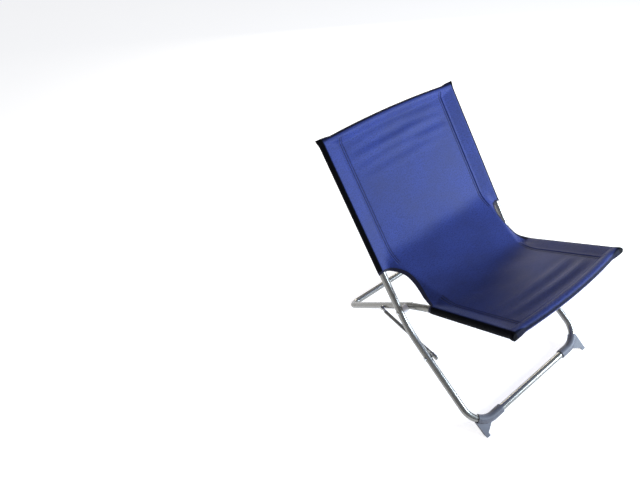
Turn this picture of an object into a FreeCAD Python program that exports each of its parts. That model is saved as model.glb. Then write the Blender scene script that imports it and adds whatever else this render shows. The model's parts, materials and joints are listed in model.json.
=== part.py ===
import FreeCAD, Part
import math
import os

from FreeCAD import Placement, Rotation, Vector

# Folding camp chair.  Two bent tube frames cross at a pivot on each side and
# carry one fabric sling.  The chair stands on the floor plane z = 0, its front
# is -Y and the pieces named "left" are on its -X side.  Lengths are mm.

SIZES = [
    ("frame_width", 460.0, "width over the two tubes of the back frame"),
    ("tube_d", 19.0, "outer diameter of every frame tube"),
    ("tube_wall", 1.2, "wall of every frame tube"),
    ("side_gap", 13.0, "free space between the back and the seat tube on one side"),
    ("back_length", 471.0, "pivot to the axis of the top bar"),
    ("back_angle", 55.5, "slope of the backrest, degrees from the floor"),
    ("bend_drop", 50.0, "pivot down to the bend of the back frame"),
    ("back_bend_r", 240.0, "bend radius below the pivot"),
    ("leg_length", 307.0, "bend to the axis of the front floor bar"),
    ("leg_angle", 34.0, "slope of the front leg"),
    ("front_corner_r", 62.0, "bend radius of the front floor corners"),
    ("bar_height", 15.0, "height of the axis of the front floor bar"),
    ("rail_rise", 85.0, "pivot to the bend of the seat rail"),
    ("rail_rise_angle", 32.0, "slope of the seat rail next to the pivot"),
    ("rail_length", 272.0, "rail bend to the axis of the seat front bar"),
    ("rail_angle", 25.5, "slope of the seat rail under the fabric"),
    ("rail_bend_r", 200.0, "bend radius of the seat rail"),
    ("rear_angle", 38.0, "slope of the rear leg"),
    ("rear_corner_r", 30.0, "bend radius of the rear floor corners"),
    ("top_bow", 8.0, "rise of the top bar at its middle"),
    ("seat_bow", 15.0, "forward bow of the seat front bar at its middle"),
    ("end_stub", 7.0, "tube beyond the axis of the cross bar at each open end"),
    ("cap_insert", 14.0, "length of an end cap inside its tube"),
    ("cap_rim", 1.0, "height of an end cap outside its tube, below the dome"),
    ("cap_dome", 1.5, "rise of the dome of an end cap"),
    ("pin_d", 6.0, "diameter of rivets and studs"),
    ("head_d", 11.0, "diameter of rivet heads"),
    ("head_t", 2.2, "height of rivet heads"),
    ("run_gap", 0.05, "radial clearance of a pin in its hole"),
    ("face_gap", 0.05, "clearance of a piece beside its neighbour"),
    ("spacer_d", 20.0, "diameter of the pivot spacer"),
    ("washer_d", 14.0, "diameter of the washer behind the stay"),
    ("stay_d", 10.0, "diameter of the stay tube"),
    ("stay_wall", 1.2, "wall of the stay tube"),
    ("stay_flat_t", 3.6, "thickness of the flattened ends of the stay"),
    ("stay_flat_d", 16.0, "width of the flattened ends of the stay"),
    ("stay_flat_l", 16.0, "end hole to the start of the round stay tube"),
    ("stay_nose", 12.0, "flat of the stay carried on past the leg rivet"),
    ("stay_foot_drop", 91.0, "bend to the stay rivet, along the front leg"),
    ("stud_reach", 124.0, "pivot to the hook stud, along the rear leg"),
    ("jaw_gap", 0.4, "clearance of the hook around its stud"),
    ("fabric_t", 1.2, "thickness of one layer of fabric"),
    ("fabric_gap", 0.3, "clearance of the fabric around a tube"),
    ("hem_ease", 0.2, "extra radius of a hem over that of a side pocket"),
    ("pocket_depth", 60.0, "outer edge of the fabric to the pocket seam"),
    ("back_pocket_from", 140.0, "pivot to the lower end of the back pockets"),
    ("seat_pocket_from", 14.0, "rail bend to the rear end of the seat pockets"),
    ("waist_side_gap", 4.0, "fabric between the cut-outs to the inner face of a seat tube"),
    ("waist_back_drop", 9.0, "back pockets down to the upper bend of the waist"),
    ("waist_seat_drop", 12.0, "seat pockets back to the lower bend of the waist"),
    ("waist_bend_r", 26.0, "bend radius of the fabric at both ends of the waist"),
    ("shoe_wall", 2.8, "wall of the plastic shoe around the tube"),
    ("shoe_run", 30.0, "shoe beyond the corner along the floor bar"),
    ("shoe_fin_t", 7.0, "thickness of the shoe fin"),
    ("shoe_tip_in", 15.0, "leg axis to the middle of the sole of the fin"),
    ("shoe_tip_w", 12.0, "width of the sole of the fin"),
]

DERIVED = [
    ("tube_r", "tube_d / 2", "outer radius of the frame tubes"),
    ("half_back", "(frame_width - tube_d) / 2", "centre plane to the back tube axis"),
    ("half_seat", "half_back - tube_d - side_gap", "centre plane to the seat tube axis"),
    ("stay_x", "half_back - tube_r - side_gap / 2", "centre plane to the stay axis"),
    ("waist_width", "2 * (half_seat - tube_r - waist_side_gap)", "fabric between the cut-outs"),
    ("pivot_z",
     "bar_height + leg_length * sin(leg_angle * 1 deg) + bend_drop * sin(back_angle * 1 deg)",
     "height of the main pivot"),
    ("rear_length", "(pivot_z - tube_r) / sin(rear_angle * 1 deg)", "pivot to the rear bar"),
    ("sleeve_r", "tube_r + fabric_gap + fabric_t", "outer radius of a fabric pocket"),
]

doc = FreeCAD.newDocument("camp_chair")
sheet = doc.addObject("Spreadsheet::Sheet", "Sizes")


def fill_sheet():
    """Write the driving and the derived sizes, each under its alias."""
    row = 1
    for alias, value, note in SIZES:
        sheet.set("A%d" % row, alias)
        sheet.set("B%d" % row, str(value))
        sheet.set("C%d" % row, note)
        sheet.setAlias("B%d" % row, alias)
        row += 1
    for alias, formula, note in DERIVED:
        sheet.set("A%d" % row, alias)
        sheet.set("B%d" % row, "=" + formula)
        sheet.set("C%d" % row, note)
        sheet.setAlias("B%d" % row, alias)
        row += 1
    doc.recompute()


def size(alias):
    """The number held in one cell of the sheet."""
    return float(getattr(sheet, alias))


# ---------------------------------------------------------------- points


def polar(start, distance, angle):
    """Point at a distance and slope from a start point of the side plane (y, z)."""
    turn = math.radians(angle)
    return (start[0] + distance * math.cos(turn), start[1] + distance * math.sin(turn))


def side_points():
    """The named points of the side view, as (y, z)."""
    p = {"pivot": (0.0, size("pivot_z"))}
    p["top"] = polar(p["pivot"], size("back_length"), size("back_angle"))
    p["top_end"] = polar(p["top"], size("end_stub"), size("back_angle"))
    p["bend"] = polar(p["pivot"], -size("bend_drop"), size("back_angle"))
    p["front_bar"] = polar(p["bend"], -size("leg_length"), size("leg_angle"))
    p["rail_bend"] = polar(p["pivot"], size("rail_rise"), 180 - size("rail_rise_angle"))
    p["seat_bar"] = polar(p["rail_bend"], size("rail_length"), 180 - size("rail_angle"))
    p["seat_end"] = polar(p["seat_bar"], size("end_stub"), 180 - size("rail_angle"))
    p["rear_bar"] = polar(p["pivot"], size("rear_length"), -size("rear_angle"))
    p["stay_foot"] = polar(p["bend"], -size("stay_foot_drop"), size("leg_angle"))
    p["stud"] = polar(p["pivot"], size("stud_reach"), -size("rear_angle"))
    return p


def at(x, point):
    """A point of the side plane moved out to x."""
    return Vector(x, point[0], point[1])


# ---------------------------------------------------------------- helpers


def bent_wire(points, radii):
    """Straight runs through the points, joined by arcs of the given radii."""
    edges = []
    start = points[0]
    for before, corner, after, radius in zip(points, points[1:], points[2:], radii):
        back = (before - corner).normalize()
        ahead = (after - corner).normalize()
        half = back.getAngle(ahead) / 2
        reach = radius / math.tan(half)
        centre = corner + (back + ahead).normalize() * (radius / math.sin(half))
        first = corner + back * reach
        last = corner + ahead * reach
        middle = centre + (corner - centre).normalize() * radius
        edges.append(Part.LineSegment(start, first).toShape())
        edges.append(Part.Arc(first, middle, last).toShape())
        start = last
    edges.append(Part.LineSegment(start, points[-1]).toShape())
    return Part.Wire(edges)


def spine(name, wire):
    """A document object that holds the centre line of a bent piece."""
    obj = doc.addObject("Part::Feature", name)
    obj.Shape = wire
    obj.Visibility = False
    return obj


def sweep(name, path, radius, start, along):
    """A round bar of a sheet-driven radius, swept along a spine."""
    ring = doc.addObject("Part::Circle", name + "_section")
    ring.setExpression("Radius", radius)
    ring.Placement = Placement(start, Rotation(Vector(0, 0, 1), along))
    bar = doc.addObject("Part::Sweep", name)
    bar.Sections = [ring]
    bar.Spine = (path, [])
    bar.Solid = True
    bar.Frenet = False
    bar.Transition = "Right corner"
    return bar


def rod(name, radius, height, placement):
    """A cylinder whose radius and height are bound to the sheet."""
    obj = doc.addObject("Part::Cylinder", name)
    obj.setExpression("Radius", radius)
    obj.setExpression("Height", height)
    obj.Placement = placement
    return obj


def block(name, length, width, height, placement):
    """A box whose three sides are bound to the sheet."""
    obj = doc.addObject("Part::Box", name)
    obj.setExpression("Length", length)
    obj.setExpression("Width", width)
    obj.setExpression("Height", height)
    obj.Placement = placement
    return obj


def prism(name, corners, direction):
    """A flat outline, given by its corners, drawn out along a direction."""
    outline = doc.addObject("Part::Feature", name + "_outline")
    outline.Shape = Part.Face(Part.makePolygon(corners + [corners[0]]))
    solid = doc.addObject("Part::Extrusion", name)
    solid.Base = outline
    solid.DirMode = "Custom"
    solid.Dir = direction
    solid.LengthFwd = direction.Length
    solid.Solid = True
    return solid


def cut(name, base, tool):
    obj = doc.addObject("Part::Cut", name)
    obj.Base = base
    obj.Tool = tool
    return obj


def fuse(name, shapes):
    obj = doc.addObject("Part::MultiFuse", name)
    obj.Shapes = shapes
    return obj


def sideways(x, point, side):
    """Placement of a cylinder that runs outward from x on one side of the chair."""
    return Placement(at(side * x, point), Rotation(Vector(0, 0, 1), Vector(side, 0, 0)))


def along(point, x, angle):
    """Placement of a cylinder that runs up a slope of the side view."""
    turn = math.radians(angle)
    rise = Vector(0, math.cos(turn), math.sin(turn))
    return Placement(at(x, point), Rotation(Vector(0, 0, 1), rise))


SIDES = [("left", -1), ("right", 1)]
PARTS = []


def keep(obj, label):
    """Register a finished sub-part under its own label."""
    obj.Label = label
    PARTS.append(obj)
    return obj


# ---------------------------------------------------------------- frames


def hollow(name, path, start, direction):
    """A tube of the common size along a spine."""
    outer = sweep(name + "_outer", path, "Sizes.tube_r", start, direction)
    inner = sweep(name + "_inner", path, "Sizes.tube_r - Sizes.tube_wall", start, direction)
    return cut(name + "_blank", outer, inner)


def cross_holes(name, spots):
    """Pin holes right through both walls of the tubes, on both sides."""
    holes = []
    for number, (x, point) in enumerate(spots):
        for side_name, side in SIDES:
            hole = rod(
                "%s_hole_%s_%d" % (name, side_name, number),
                "Sizes.pin_d / 2 + Sizes.run_gap",
                "Sizes.tube_d + 2",
                sideways(x - size("tube_r") - 1, point, side),
            )
            holes.append(hole)
    return fuse(name + "_holes", holes)


def back_tube(p):
    """Back frame: both uprights, both front legs and the front floor bar."""
    x = size("half_back")
    points = [at(-x, p["top_end"]), at(-x, p["bend"]), at(-x, p["front_bar"])]
    points += [at(x, p["front_bar"]), at(x, p["bend"]), at(x, p["top_end"])]
    radii = [size("back_bend_r"), size("front_corner_r")]
    path = spine("back_path", bent_wire(points, radii + radii[::-1]))
    blank = hollow("back_tube", path, points[0], points[1] - points[0])
    holes = cross_holes("back_tube", [(x, p["pivot"]), (x, p["stay_foot"])])
    return keep(cut("BackTube", blank, holes), "back_frame_tube")


def seat_tube(p):
    """Seat frame: both seat rails, both rear legs and the rear floor bar."""
    x = size("half_seat")
    names = ["seat_end", "rail_bend", "pivot", "rear_bar"]
    points = [at(-x, p[name]) for name in names]
    points += [at(x, p[name]) for name in reversed(names)]
    radii = [size("rail_bend_r"), size("rail_bend_r"), size("rear_corner_r")]
    path = spine("seat_path", bent_wire(points, radii + radii[::-1]))
    blank = hollow("seat_tube", path, points[0], points[1] - points[0])
    holes = cross_holes("seat_tube", [(x, p["pivot"]), (x, p["stud"])])
    return keep(cut("SeatTube", blank, holes), "seat_frame_tube")


def bow_wire(half, point, angle, rise):
    """A shallow arc between the two sides, bowed along a slope of the side view."""
    middle = polar(point, rise, angle)
    return Part.Wire([Part.Arc(at(-half, point), at(0, middle), at(half, point)).toShape()])


def bow_start(wire):
    edge = wire.Edges[0]
    return edge.valueAt(edge.FirstParameter), edge.tangentAt(edge.FirstParameter)


def cross_bar(name, half, point, angle, rise, label):
    """A bowed tube between two side tubes, its ends shaped to their walls."""
    wire = bow_wire(half, point, angle, rise)
    start, direction = bow_start(wire)
    path = spine(name + "_path", wire)
    blank = hollow(name, path, start, direction)
    seats = []
    for side_name, side in SIDES:
        base = polar(point, -4 * size("tube_d"), angle)
        seats.append(rod(
            "%s_seat_%s" % (name, side_name),
            "Sizes.tube_r + Sizes.face_gap",
            "Sizes.tube_d * 8",
            along(base, side * half, angle),
        ))
    return keep(cut(name + "_bar", blank, fuse(name + "_seats", seats)), label)


def end_caps(frame, half, point, angle):
    """Plastic caps in the two open ends of a frame."""
    name = frame + "_cap"
    for side_name, side in SIDES:
        tag = "%s_%s" % (name, side_name)
        inside = polar(point, -size("cap_insert"), angle)
        top = polar(point, size("cap_rim"), angle)
        plug = rod(
            tag + "_plug", "Sizes.tube_r - Sizes.tube_wall - Sizes.face_gap",
            "Sizes.cap_insert + Sizes.face_gap", along(inside, side * half, angle),
        )
        seat = polar(point, size("face_gap"), angle)
        rim = rod(
            tag + "_rim", "Sizes.tube_r", "Sizes.cap_rim - Sizes.face_gap",
            along(seat, side * half, angle),
        )
        dome = doc.addObject("Part::Ellipsoid", tag + "_dome")
        dome.setExpression("Radius1", "Sizes.cap_dome")
        dome.setExpression("Radius2", "Sizes.tube_r")
        dome.Angle1 = 0
        dome.Angle2 = 90
        dome.Placement = along(top, side * half, angle)
        keep(fuse(tag, [plug, rim, dome]), tag)


# ---------------------------------------------------------------- shoes


def shoe(p, side_name, side):
    """Plastic shoe on a front floor corner, with a fin that reaches the floor."""
    tag = "shoe_" + side_name
    corner = at(side * size("half_back"), p["front_bar"])
    inward = Vector(-side, 0, 0)
    turn = math.radians(size("leg_angle"))
    upward = Vector(0, math.cos(turn), math.sin(turn))
    normal = Vector(0, -math.sin(turn), math.cos(turn))
    radius = size("front_corner_r")
    centre = corner + inward * radius + upward * radius

    def on_arc(degrees):
        angle = math.radians(degrees)
        return centre - inward * (radius * math.cos(angle)) - upward * (radius * math.sin(angle))

    first = on_arc(44)
    last = on_arc(90)
    end = last + inward * size("shoe_run")
    arc = Part.Arc(first, on_arc(67), last).toShape()
    path = spine(tag + "_path", Part.Wire([arc, Part.LineSegment(last, end).toShape()]))
    direction = arc.tangentAt(arc.FirstParameter)
    sleeve = sweep(tag + "_sleeve", path, "Sizes.tube_r + Sizes.shoe_wall", first, direction)

    sole = size("bar_height") / math.sin(turn)
    tip = size("shoe_tip_in")
    half_tip = size("shoe_tip_w") / 2
    below = sole + size("shoe_fin_t")
    outline = [(tip - half_tip, -below), (tip + half_tip, -below), (tip + half_tip, -sole + 3)]
    outline += [(radius * 0.72, -size("tube_r")), (radius * 0.8, 0)]
    outline += [(radius * 0.6, radius * 0.12), (radius * 0.2, radius * 0.4)]
    outline += [(tip - half_tip - 2, radius * 0.28)]
    offset = normal * (-size("shoe_fin_t") / 2)
    corners = [corner + inward * a + upward * b + offset for a, b in outline]
    fin = prism(tag + "_fin", corners, normal * size("shoe_fin_t"))

    tube_path = spine(tag + "_bore_path", Part.Wire([
        Part.LineSegment(on_arc(0) + upward * 40, on_arc(0)).toShape(),
        Part.Arc(on_arc(0), on_arc(45), last).toShape(),
        Part.LineSegment(last, last + inward * (size("shoe_run") + 40)).toShape(),
    ]))
    bore = sweep(
        tag + "_bore", tube_path, "Sizes.tube_r + 2 * Sizes.face_gap",
        on_arc(0) + upward * 40, upward * -1,
    )
    floor = block(
        tag + "_floor", "Sizes.frame_width", "Sizes.frame_width", "Sizes.frame_width",
        Placement(
            Vector(corner.x - size("frame_width") / 2, corner.y - size("frame_width") / 2,
                   -size("frame_width")),
            Rotation(),
        ),
    )
    solid = fuse(tag + "_blank", [sleeve, fin])
    trimmed = cut(tag + "_trimmed", solid, floor)
    return keep(cut(tag, trimmed, bore), "front_shoe_" + side_name)


# ---------------------------------------------------------------- pivots


def pivot_rivet(p, side_name, side):
    """Long rivet through the back tube, the spacer and the seat tube."""
    tag = "pivot_rivet_" + side_name
    gap = size("face_gap")
    inner = size("half_seat") - size("tube_r") - gap
    outer = size("half_back") + size("tube_r") + gap
    shank = rod(
        tag + "_shank", "Sizes.pin_d / 2",
        "Sizes.half_back - Sizes.half_seat + Sizes.tube_d + 2 * Sizes.face_gap + 2",
        sideways(inner - 1, p["pivot"], side),
    )
    heads = []
    for name, x, way in (("in", inner, -1), ("out", outer, 1)):
        heads.append(rod(
            "%s_%s" % (tag, name), "Sizes.head_d / 2", "Sizes.head_t",
            Placement(at(side * x, p["pivot"]), Rotation(Vector(0, 0, 1), Vector(side * way, 0, 0))),
        ))
    return keep(fuse(tag, [shank] + heads), tag)


def pivot_spacer(p, side_name, side):
    """Spacer between the two frames, saddled on the back tube."""
    tag = "pivot_spacer_" + side_name
    start = size("half_seat") + size("tube_r") + size("face_gap")
    body = rod(
        tag + "_body", "Sizes.spacer_d / 2",
        "Sizes.side_gap + Sizes.tube_r / 2", sideways(start, p["pivot"], side),
    )
    bore = rod(
        tag + "_bore", "Sizes.pin_d / 2 + Sizes.run_gap", "Sizes.side_gap + Sizes.tube_d",
        sideways(start - 1, p["pivot"], side),
    )
    low = polar(p["pivot"], -2 * size("spacer_d"), size("back_angle"))
    saddle = rod(
        tag + "_saddle", "Sizes.tube_r + Sizes.face_gap", "4 * Sizes.spacer_d",
        along(low, side * size("half_back"), size("back_angle")),
    )
    return keep(cut(tag, body, fuse(tag + "_tools", [bore, saddle])), tag)


def stay_rivet(p, side_name, side):
    """Rivet that carries the stay on the front leg."""
    tag = "stay_rivet_" + side_name
    gap = size("face_gap")
    inner = size("stay_x") - size("stay_flat_t") / 2 - gap
    outer = size("half_back") + size("tube_r") + gap
    shank = rod(
        tag + "_shank", "Sizes.pin_d / 2",
        "Sizes.half_back + Sizes.tube_r - Sizes.stay_x + Sizes.stay_flat_t / 2 + 2",
        sideways(inner - 1, p["stay_foot"], side),
    )
    heads = []
    for name, x, way in (("in", inner, -1), ("out", outer, 1)):
        heads.append(rod(
            "%s_%s" % (tag, name), "Sizes.head_d / 2", "Sizes.head_t",
            Placement(at(side * x, p["stay_foot"]),
                      Rotation(Vector(0, 0, 1), Vector(side * way, 0, 0))),
        ))
    return keep(fuse(tag, [shank] + heads), tag)


def stay_washer(p, side_name, side):
    """Nylon washer between the front leg and the stay."""
    tag = "stay_washer_" + side_name
    start = size("stay_x") + size("stay_flat_t") / 2 + size("face_gap")
    body = rod(
        tag + "_body", "Sizes.washer_d / 2",
        "(Sizes.side_gap - Sizes.stay_flat_t) / 2 - 2 * Sizes.face_gap",
        sideways(start, p["stay_foot"], side),
    )
    bore = rod(
        tag + "_bore", "Sizes.pin_d / 2 + Sizes.run_gap", "Sizes.side_gap",
        sideways(start - 1, p["stay_foot"], side),
    )
    return keep(cut(tag, body, bore), tag)


def hook_stud(p, side_name, side):
    """Shouldered stud on the rear leg that the stay hooks over."""
    tag = "hook_stud_" + side_name
    gap = size("face_gap")
    wall = size("half_seat") + size("tube_r")
    inner_face = size("stay_x") - size("stay_flat_t") / 2
    outer_face = size("stay_x") + size("stay_flat_t") / 2
    shank = rod(
        tag + "_shank", "Sizes.pin_d / 2",
        "Sizes.tube_r + Sizes.side_gap / 2 + Sizes.stay_flat_t / 2 + 1",
        sideways(size("half_seat"), p["stud"], side),
    )
    collar = rod(
        tag + "_collar", "Sizes.head_d / 2",
        "(Sizes.side_gap - Sizes.stay_flat_t) / 2 - 6 * Sizes.face_gap",
        sideways(wall + gap, p["stud"], side),
    )
    head = rod(
        tag + "_head", "Sizes.head_d / 2 - 0.5", "Sizes.head_t - 0.6",
        sideways(outer_face + 5 * gap, p["stud"], side),
    )
    if inner_face < wall + gap:
        raise ValueError("the stay has no room beside the rear leg")
    return keep(fuse(tag, [shank, collar, head]), tag)


def stay(p, side_name, side):
    """Stay: tube with flattened ends, pinned to the leg and hooked on the stud."""
    tag = "stay_" + side_name
    x = size("stay_x")
    foot = p["stay_foot"]
    stud = p["stud"]
    span = math.hypot(stud[0] - foot[0], stud[1] - foot[1])
    slope = math.degrees(math.atan2(stud[1] - foot[1], stud[0] - foot[0]))
    flat = size("stay_flat_l")
    pieces = []
    tube_start = polar(foot, flat, slope)
    outer = rod(
        tag + "_tube", "Sizes.stay_d / 2", "%.6f - 2 * Sizes.stay_flat_l" % span,
        along(tube_start, side * x, slope),
    )
    pieces.append(outer)
    for name, point, way in (("foot", foot, 1), ("hook", stud, -1)):
        eye = rod(
            "%s_%s_eye" % (tag, name), "Sizes.stay_flat_d / 2", "Sizes.stay_flat_t",
            sideways(x - size("stay_flat_t") / 2, point, side),
        )
        far = polar(point, way * (flat + 4), slope)
        low_near = polar(point, -size("stay_flat_d") / 2, slope + 90)
        high_near = polar(point, size("stay_flat_d") / 2, slope + 90)
        low_far = polar(far, -size("stay_d") / 2, slope + 90)
        high_far = polar(far, size("stay_d") / 2, slope + 90)
        left = x - size("stay_flat_t") / 2
        corners = [at(side * left, q) for q in (low_near, low_far, high_far, high_near)]
        web = prism(
            "%s_%s_web" % (tag, name), corners, Vector(side * size("stay_flat_t"), 0, 0),
        )
        pieces += [eye, web]
    nose = polar(foot, -size("stay_nose"), slope)
    pieces.append(rod(
        tag + "_nose_eye", "Sizes.stay_flat_d / 2", "Sizes.stay_flat_t",
        sideways(x - size("stay_flat_t") / 2, nose, side),
    ))
    half = size("stay_flat_d") / 2
    corners = [at(side * (x - size("stay_flat_t") / 2), polar(q, way * half, slope + 90))
               for q, way in ((nose, -1), (foot, -1), (foot, 1), (nose, 1))]
    pieces.append(prism(tag + "_nose_web", corners, Vector(side * size("stay_flat_t"), 0, 0)))
    blank = fuse(tag + "_blank", pieces)

    hole = rod(
        tag + "_hole", "Sizes.pin_d / 2 + Sizes.run_gap", "Sizes.stay_d * 2",
        sideways(x - size("stay_d"), foot, side),
    )
    seat = rod(
        tag + "_jaw_seat", "Sizes.pin_d / 2 + Sizes.jaw_gap", "Sizes.stay_d * 2",
        sideways(x - size("stay_d"), stud, side),
    )
    grip = size("pin_d") / 2 + size("jaw_gap")
    front_way = -size("rear_angle") - 90 - 8
    rear_way = slope - 90 + 4
    front_edge = polar(stud, grip, front_way - 90)
    rear_edge = polar(stud, grip, rear_way + 90)
    front_low = polar(front_edge, size("stay_flat_d"), front_way)
    rear_low = polar(rear_edge, size("stay_flat_d"), rear_way)
    corners = [at(side * (x - size("stay_d")), q)
               for q in (stud, front_edge, front_low, rear_low, rear_edge)]
    mouth = prism(tag + "_mouth", corners, Vector(side * 2 * size("stay_d"), 0, 0))
    bore = rod(
        tag + "_bore", "Sizes.stay_d / 2 - Sizes.stay_wall",
        "%.6f - 2 * Sizes.stay_flat_l - 12" % span,
        along(polar(tube_start, 6, slope), side * x, slope),
    )
    return keep(cut(tag, blank, fuse(tag + "_tools", [hole, seat, mouth, bore])), tag)


# ---------------------------------------------------------------- fabric


def pocket(tag, side, half, start, angle, length, sign):
    """Solid of one side pocket: a teardrop around the tube, closed at its seam."""
    turn = math.radians(angle)
    rise = Vector(0, math.cos(turn), math.sin(turn)) * length
    normal = Vector(0, -math.sin(turn), math.cos(turn)) * sign
    radius = size("sleeve_r")
    seam = half + radius - size("pocket_depth")
    axis = at(side * half, start)
    seam_point = at(side * seam, start)
    lean = math.asin((radius - size("fabric_t")) / (half - seam))
    touch_x = Vector(side * math.sin(lean) * radius * -1, 0, 0)
    touch_n = normal * (math.cos(lean) * radius)
    corners = [
        axis,
        axis + touch_x + touch_n,
        seam_point + normal * size("fabric_t"),
        seam_point - normal * size("fabric_t"),
        axis + touch_x - touch_n,
    ]
    wedge = prism(tag + "_wedge", corners, rise)
    tube = rod(tag + "_sleeve", "Sizes.sleeve_r", "%.6f" % length, along(start, side * half, angle))
    return [wedge, tube]


def panel(name, half, start, angle, length, rise, path, label):
    """A fabric panel with two side pockets and a hem around its cross bar."""
    turn = math.radians(angle)
    normal = Vector(0, -math.sin(turn), math.cos(turn)) * (size("fabric_t") / 2)
    end = polar(start, length, angle)
    top = polar(end, rise, angle)
    inner = half - size("pocket_depth") / 2
    edges = [
        Part.LineSegment(at(-inner, end) - normal, at(-inner, start) - normal).toShape(),
        Part.LineSegment(at(-inner, start) - normal, at(inner, start) - normal).toShape(),
        Part.LineSegment(at(inner, start) - normal, at(inner, end) - normal).toShape(),
        Part.Arc(at(inner, end) - normal, at(0, top) - normal, at(-inner, end) - normal).toShape(),
    ]
    outline = doc.addObject("Part::Feature", name + "_outline")
    outline.Shape = Part.Face(Part.Wire(edges))
    web = doc.addObject("Part::Extrusion", name + "_web")
    web.Base = outline
    web.DirMode = "Custom"
    web.Dir = normal
    web.LengthFwd = size("fabric_t")
    web.Solid = True
    solids = [web]
    for side_name, side in SIDES:
        solids += pocket("%s_%s" % (name, side_name), side, half, start, angle, length, 1)
    wire = bow_wire(half - size("tube_r"), end, angle, rise)
    begin, direction = bow_start(wire)
    hem_path = spine(name + "_hem_path", wire)
    solids.append(sweep(
        name + "_hem", hem_path, "Sizes.sleeve_r + 2 * Sizes.hem_ease", begin, direction,
    ))
    blank = fuse(name + "_blank", solids)

    begin, direction = bow_start(path.Shape)
    hem_bore = sweep(
        name + "_hem_bore", path, "Sizes.tube_r + Sizes.fabric_gap + Sizes.hem_ease",
        begin, direction,
    )
    body = cut(name + "_hemmed", blank, hem_bore)
    below = polar(start, -20, angle)
    for side_name, side in SIDES:
        bore = rod(
            "%s_%s_bore" % (name, side_name), "Sizes.tube_r + Sizes.fabric_gap",
            "%.6f" % (length + 80), along(below, side * half, angle),
        )
        body = cut("%s_%s_open" % (name, side_name), body, bore)
    return keep(body, label)


def fabric_waist(p):
    """The taut part of the sling between its two side cut-outs."""
    back_from = size("back_pocket_from")
    seat_from = size("seat_pocket_from")
    gap = size("fabric_gap")
    rail = 180 - size("rail_angle")
    line = [
        polar(p["pivot"], back_from - gap, size("back_angle")),
        polar(p["pivot"], back_from - size("waist_back_drop"), size("back_angle")),
        polar(p["rail_bend"], seat_from - size("waist_seat_drop"), rail),
        polar(p["rail_bend"], seat_from - gap, rail),
    ]
    left = [at(-size("waist_width") / 2, point) for point in line]
    radii = []
    for before, corner, after in zip(left, left[1:], left[2:]):
        run = min((corner - before).Length, (after - corner).Length)
        turn = (corner - before).getAngle(after - corner)
        radii.append(min(size("waist_bend_r"), 0.95 * run / math.tan(turn / 2)))
    centre = bent_wire(left, radii)
    ribbon = doc.addObject("Part::Feature", "waist_line")
    ribbon.Shape = centre
    band = doc.addObject("Part::Extrusion", "waist_band")
    band.Base = ribbon
    band.DirMode = "Custom"
    band.Dir = Vector(1, 0, 0)
    band.setExpression("LengthFwd", "Sizes.waist_width")
    thick = doc.addObject("Part::Offset", "SlingWaist")
    thick.Source = band
    thick.setExpression("Value", "Sizes.fabric_t")
    thick.Fill = True
    return keep(thick, "sling_waist")


# ---------------------------------------------------------------- assembly


def centre_on_origin():
    """Move every sub-part so that the chair's box is centred over the origin."""
    box = FreeCAD.BoundBox()
    for obj in PARTS:
        box.add(obj.Shape.optimalBoundingBox(False, False))
    shift = Vector(-box.Center.x, -box.Center.y, -box.ZMin)
    if box.ZMin > 0.01 or box.ZMin < -0.01:
        raise ValueError("the chair does not stand on the floor: %.3f" % box.ZMin)
    for obj in PARTS:
        obj.Placement = Placement(shift, Rotation()).multiply(obj.Placement)
    doc.recompute()
    return shift


def check_document():
    for obj in doc.Objects:
        if "Invalid" in obj.State or "Error" in obj.State:
            raise RuntimeError("failed object: " + obj.Name)
    for obj in PARTS:
        shape = obj.Shape
        if shape.isNull() or not shape.isValid() or not shape.Solids:
            raise RuntimeError("bad shape: " + obj.Label)


def main():
    fill_sheet()
    p = side_points()
    back_tube(p)
    seat_tube(p)
    cross_bar("back_top", size("half_back"), p["top"], size("back_angle"),
              size("top_bow"), "back_top_bar")
    cross_bar("seat_front", size("half_seat"), p["seat_bar"], 180 - size("rail_angle"),
              size("seat_bow"), "seat_front_bar")
    end_caps("top", size("half_back"), p["top_end"], size("back_angle"))
    end_caps("seat", size("half_seat"), p["seat_end"], 180 - size("rail_angle"))
    for side_name, side in SIDES:
        shoe(p, side_name, side)
        pivot_rivet(p, side_name, side)
        pivot_spacer(p, side_name, side)
        stay_rivet(p, side_name, side)
        stay_washer(p, side_name, side)
        hook_stud(p, side_name, side)
        stay(p, side_name, side)
    start = polar(p["pivot"], size("back_pocket_from"), size("back_angle"))
    panel("BackFabric", size("half_back"), start, size("back_angle"),
          size("back_length") - size("back_pocket_from"), size("top_bow"),
          doc.getObject("back_top_path"), "back_fabric")
    rail = 180 - size("rail_angle")
    start = polar(p["rail_bend"], size("seat_pocket_from"), rail)
    panel("SeatFabric", size("half_seat"), start, rail,
          size("rail_length") - size("seat_pocket_from"), size("seat_bow"),
          doc.getObject("seat_front_path"), "seat_fabric")
    fabric_waist(p)
    doc.recompute()
    check_document()
    shift = centre_on_origin()
    check_document()
    os.makedirs("parts", exist_ok=True)
    for obj in PARTS:
        obj.Shape.exportStep(os.path.join("parts", obj.Label + ".step"))
    print("sub-parts", len(PARTS))
    for name in sorted(p):
        y, z = p[name]
        print("%-10s y %8.2f z %8.2f" % (name, y + shift.y, z + shift.z))


main()
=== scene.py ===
import json
import math

import bmesh
import bpy
from bpy.props import FloatProperty, FloatVectorProperty, PointerProperty
from mathutils import Matrix, Vector


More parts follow.
